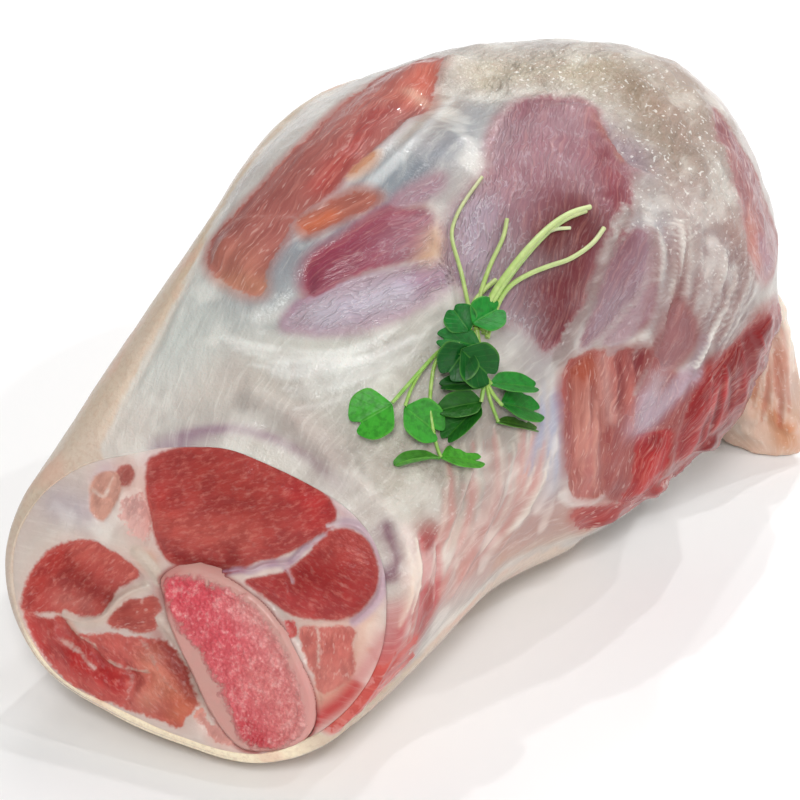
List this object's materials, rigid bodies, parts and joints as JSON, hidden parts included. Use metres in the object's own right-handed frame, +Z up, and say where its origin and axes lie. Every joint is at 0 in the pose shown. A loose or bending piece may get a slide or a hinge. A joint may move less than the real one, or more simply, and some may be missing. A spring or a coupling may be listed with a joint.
{
  "type": "raw pork hock",
  "caption": "Raw pork hock lying on its rind, with the sawn shin bone showing at one end and a small bunch of cress sprouts on top.",
  "frame": {"origin": "under the middle of the hock, on the surface it lies on", "axes": "+X along the hock from the sawn end to the rounded end, +Z up"},
  "size_m": [0.213, 0.1272, 0.1134],
  "materials": {
    "meat": "moist raw meat under a pale, shiny membrane, with white fat",
    "rind": "damp cream skin with a satin sheen",
    "bone": "sawn bone with a pale pink rim and red, grainy marrow",
    "sprout": "smooth fresh leaf with a soft sheen"
  },
  "bodies": {
    "root": {"hock": "meat", "shin_bone": "bone", "sprout_bunch": "sprout"}
  },
  "joints": []
}
